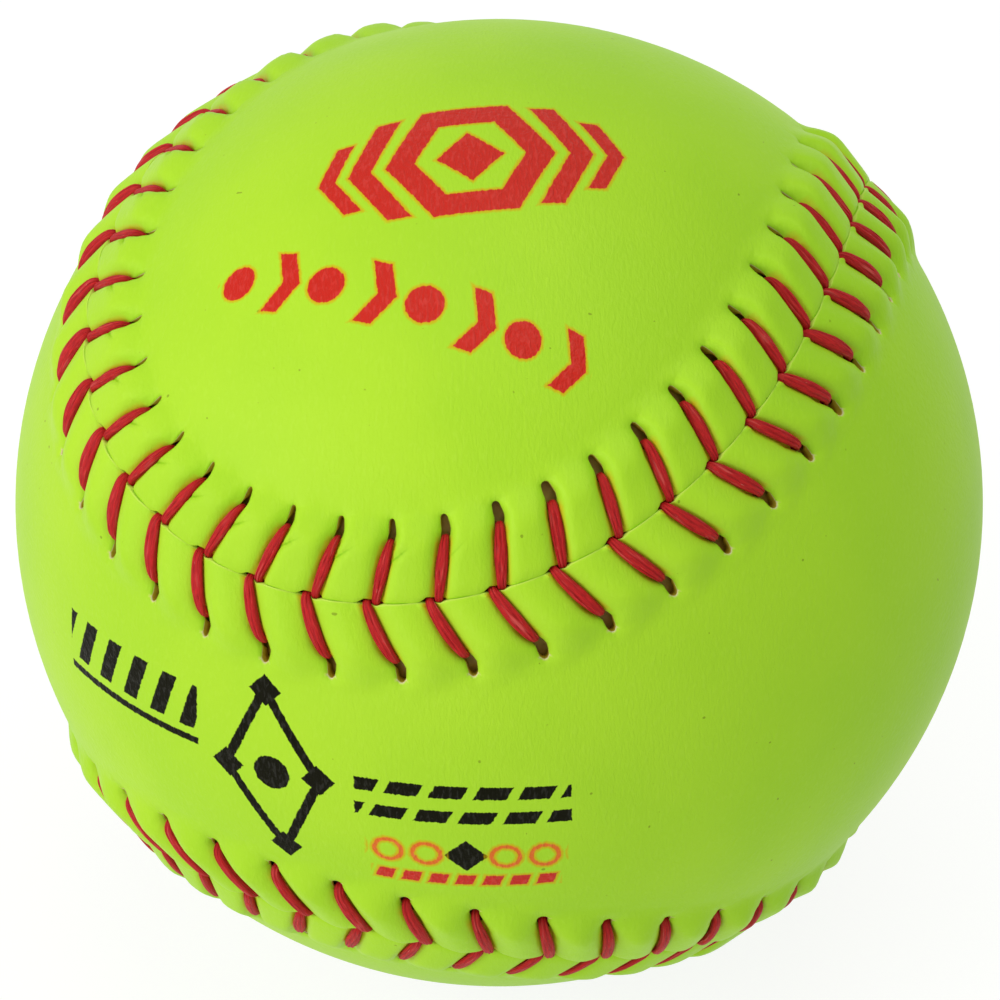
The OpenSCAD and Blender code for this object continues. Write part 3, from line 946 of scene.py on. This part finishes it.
def threadMaterial():  # waxed red yarn: fibres along the bundle, painted shade in the grooves between strands, painted glints on pale fibres
    material, tree = startMaterial("waxedThread")
    look = threadLook
    uv = addNode(tree, "ShaderNodeUVMap", uv_map="strands").outputs[0]

    def stretched(layout, detail):
        inputs = {"Vector": uv, "Rotation": layout[0], "Scale": layout[1]}
        return noise(addNode(tree, "ShaderNodeMapping", inputs).outputs[0], 1, detail)

    fibre, strand = stretched(look["fibre"], 4), stretched(look["strand"], 2)
    colour = blendColour(soft(fibre, 0.35, 0.65), (*look["dark"], 1), (*look["bright"], 1))
    colour = stain(colour, soft(strand, 0.55, 0.75), *look["paleStrand"])
    # painted shade down the grooves
    colour = stain(colour, attribute(tree, "groove"), *look["grooveShade"])
    # painted glints, partly pale fibres
    colour = stain(colour, soft(fibre, 0.68, 0.76), *look["glintAndPaleFibre"])
    relief = bumpOf(weighed(fibre, 1, strand, look["strandBump"]), look["bumpDepth"], 1.0)
    smooth, more = look["rough"]
    rough = calc("ADD", smooth, times(fibre, more))
    closeMaterial(tree, Base_Color=colour, Roughness=rough, Normal=relief, Specular_IOR_Level=look["gloss"])
    return material


threadFinish = threadMaterial()
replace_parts(makeThread("seamThreadA", 1, threadFinish), "thread_a")
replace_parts(makeThread("seamThreadB", -1, threadFinish), "thread_b")
print("threads made")

inside = {  # the two hidden pieces: two tones, scale of the clouds, and roughness
    "core": ("mouldedFoam", (0.60, 0.58, 0.50), (0.78, 0.76, 0.68), 160, 0.6),
    "cement_coat": ("driedCement", (0.34, 0.18, 0.005), (0.56, 0.37, 0.05), 420, 0.4),
}
mottle = {
    "cells": (4, 0.4),  # how much finer they are than the clouds, and their share of the relief
    "bump": (0.0002, 0.5),  # depth in metres, and strength
    "rough": 0.2,  # what the clouds add
}


def mottledMaterial(name, dark, pale, scale, roughness):  # two tones in clouds of noise, with a rough relief
    material, tree = startMaterial(name)
    place = addNode(tree, "ShaderNodeTexCoord").outputs["Object"]
    cloud = noise(place, scale, 5)
    finer, share = mottle["cells"]
    cell = addNode(tree, "ShaderNodeTexVoronoi", {"Vector": place, "Scale": scale * finer}).outputs[0]
    colour = blendColour(soft(cloud, 0.35, 0.7), (*dark, 1), (*pale, 1))
    relief = bumpOf(weighed(cloud, 1, cell, share), *mottle["bump"])
    rough = calc("ADD", roughness, times(cloud, mottle["rough"]))
    closeMaterial(tree, Base_Color=colour, Roughness=rough, Normal=relief)
    return material


for name, finish in inside.items():
    frame["nodes"][name].material_slots[0].material = mottledMaterial(*finish)
print("inner pieces dressed")

# The camera was fitted to the photograph with the seam; right, up and back are its axes
stage = {
    "floorZ": -seam["ballR"] * mm,
    "size": 6.0,
    "paper": (0.85, 0.85, 0.85, 1),  # what the floor throws back on the ball
    "shade": (0.2, 0.19, 0.2, 1),  # what the camera sees of a lit floor, with its shadow
    "white": 0.875,  # and what is added to it
    "room": (0.88, 1, 0.85, 1),
    "roomLevel": 0.42,
    "right": Vector((0.88105, 0.47298, -0.00611)),
    "up": Vector((-0.27807, 0.52834, 0.80221)),
    "back": Vector((0.38266, -0.70509, 0.59701)),
    "distance": 0.7018,
    "lens": 253,
    "sensor": 36,
    "shift": (0.00084, 0.00265),
    "nearest": 0.01,
}
lamps = {  # how far right, up and back it lies, metres off, its size, watts and colour
    "leftLight": ((-0.83, 0.1, 0.54), 0.9, 0.6, 3.3, (1, 0.84, 0.97)),
    "overLight": ((0.1, 0.9, 0.7), 1.0, 0.8, 3.3, (1, 1, 0.92)),
    "lowLight": ((-0.45, -0.4, 0.75), 1.0, 0.3, 1.35, (1, 1, 0.95)),
}


def closeBySight(tree, output, thrown, seen):  # one look as light on the object, one to the eye and in gloss
    path = addNode(tree, "ShaderNodeLightPath").outputs
    sight = merge("MAXIMUM", path["Is Camera Ray"], path["Is Glossy Ray"], path["Is Transmission Ray"])
    mixed = addNode(tree, "ShaderNodeMixShader", {0: sight, 1: thrown, 2: seen}).outputs[0]
    addNode(tree, output, {"Surface": mixed})


def stageMaterial():  # white for the camera and in reflections, paper for the light that it throws back
    material, tree = startMaterial("whiteSweep")
    paper, shade = [addNode(tree, "ShaderNodeBsdfDiffuse", {"Color": stage[tone]}).outputs[0]
                    for tone in ("paper", "shade")]
    inputs = {"Color": (1, 1, 1, 1), "Strength": stage["white"]}
    white = addNode(tree, "ShaderNodeEmission", inputs).outputs[0]
    lit = addNode(tree, "ShaderNodeAddShader", {0: shade, 1: white}).outputs[0]
    closeBySight(tree, "ShaderNodeOutputMaterial", paper, lit)
    return material


def makeFloor():
    half = stage["size"] / 2
    corners = [(half * a, half * b, stage["floorZ"]) for a, b in ((-1, -1), (1, -1), (1, 1), (-1, 1))]
    mesh = bpy.data.meshes.new("floor")
    mesh.from_pydata(corners, [], [(0, 1, 2, 3)])
    mesh.materials.append(stageMaterial())
    addObject("floor", mesh)


def makeWorld():  # even white room: plain light for the object, white behind it and in its gloss
    world = bpy.data.worlds.new("room")
    world.use_nodes = True
    scene.world = world
    tree = world.node_tree
    tree.nodes.clear()
    dim, white = [addNode(tree, "ShaderNodeBackground", {"Color": tone, "Strength": level}).outputs[0]
                  for tone, level in ((stage["room"], stage["roomLevel"]), ((1, 1, 1, 1), 1.0))]
    closeBySight(tree, "ShaderNodeOutputWorld", dim, white)


def makeLamp(name, toward, distance, size, watts, tint):  # a square soft light that looks at the ball
    data = bpy.data.lights.new(name, "AREA")
    data.color = tint
    data.size = size
    data.energy = watts
    made = addObject(name, data)
    made.location = toward.normalized() * distance
    made.rotation_euler = (-toward).to_track_quat("-Z", "Y").to_euler()


def makeCamera():
    data = bpy.data.cameras.new("camera")
    data.lens = stage["lens"]
    data.sensor_width = stage["sensor"]
    data.shift_x, data.shift_y = stage["shift"]
    data.clip_start = stage["nearest"]
    scene.camera = addObject("camera", data)
    turn = Matrix((stage["right"], stage["up"], stage["back"])).transposed().to_4x4()
    scene.camera.matrix_world = Matrix.Translation(stage["back"] * stage["distance"]) @ turn


makeFloor()
makeWorld()
for name, (aside, distance, size, watts, tint) in lamps.items():
    toward = stage["right"] * aside[0] + stage["up"] * aside[1] + stage["back"] * aside[2]
    makeLamp(name, toward, distance, size, watts, tint)
makeCamera()
scene.view_settings.view_transform = "Standard"
print("stage set")
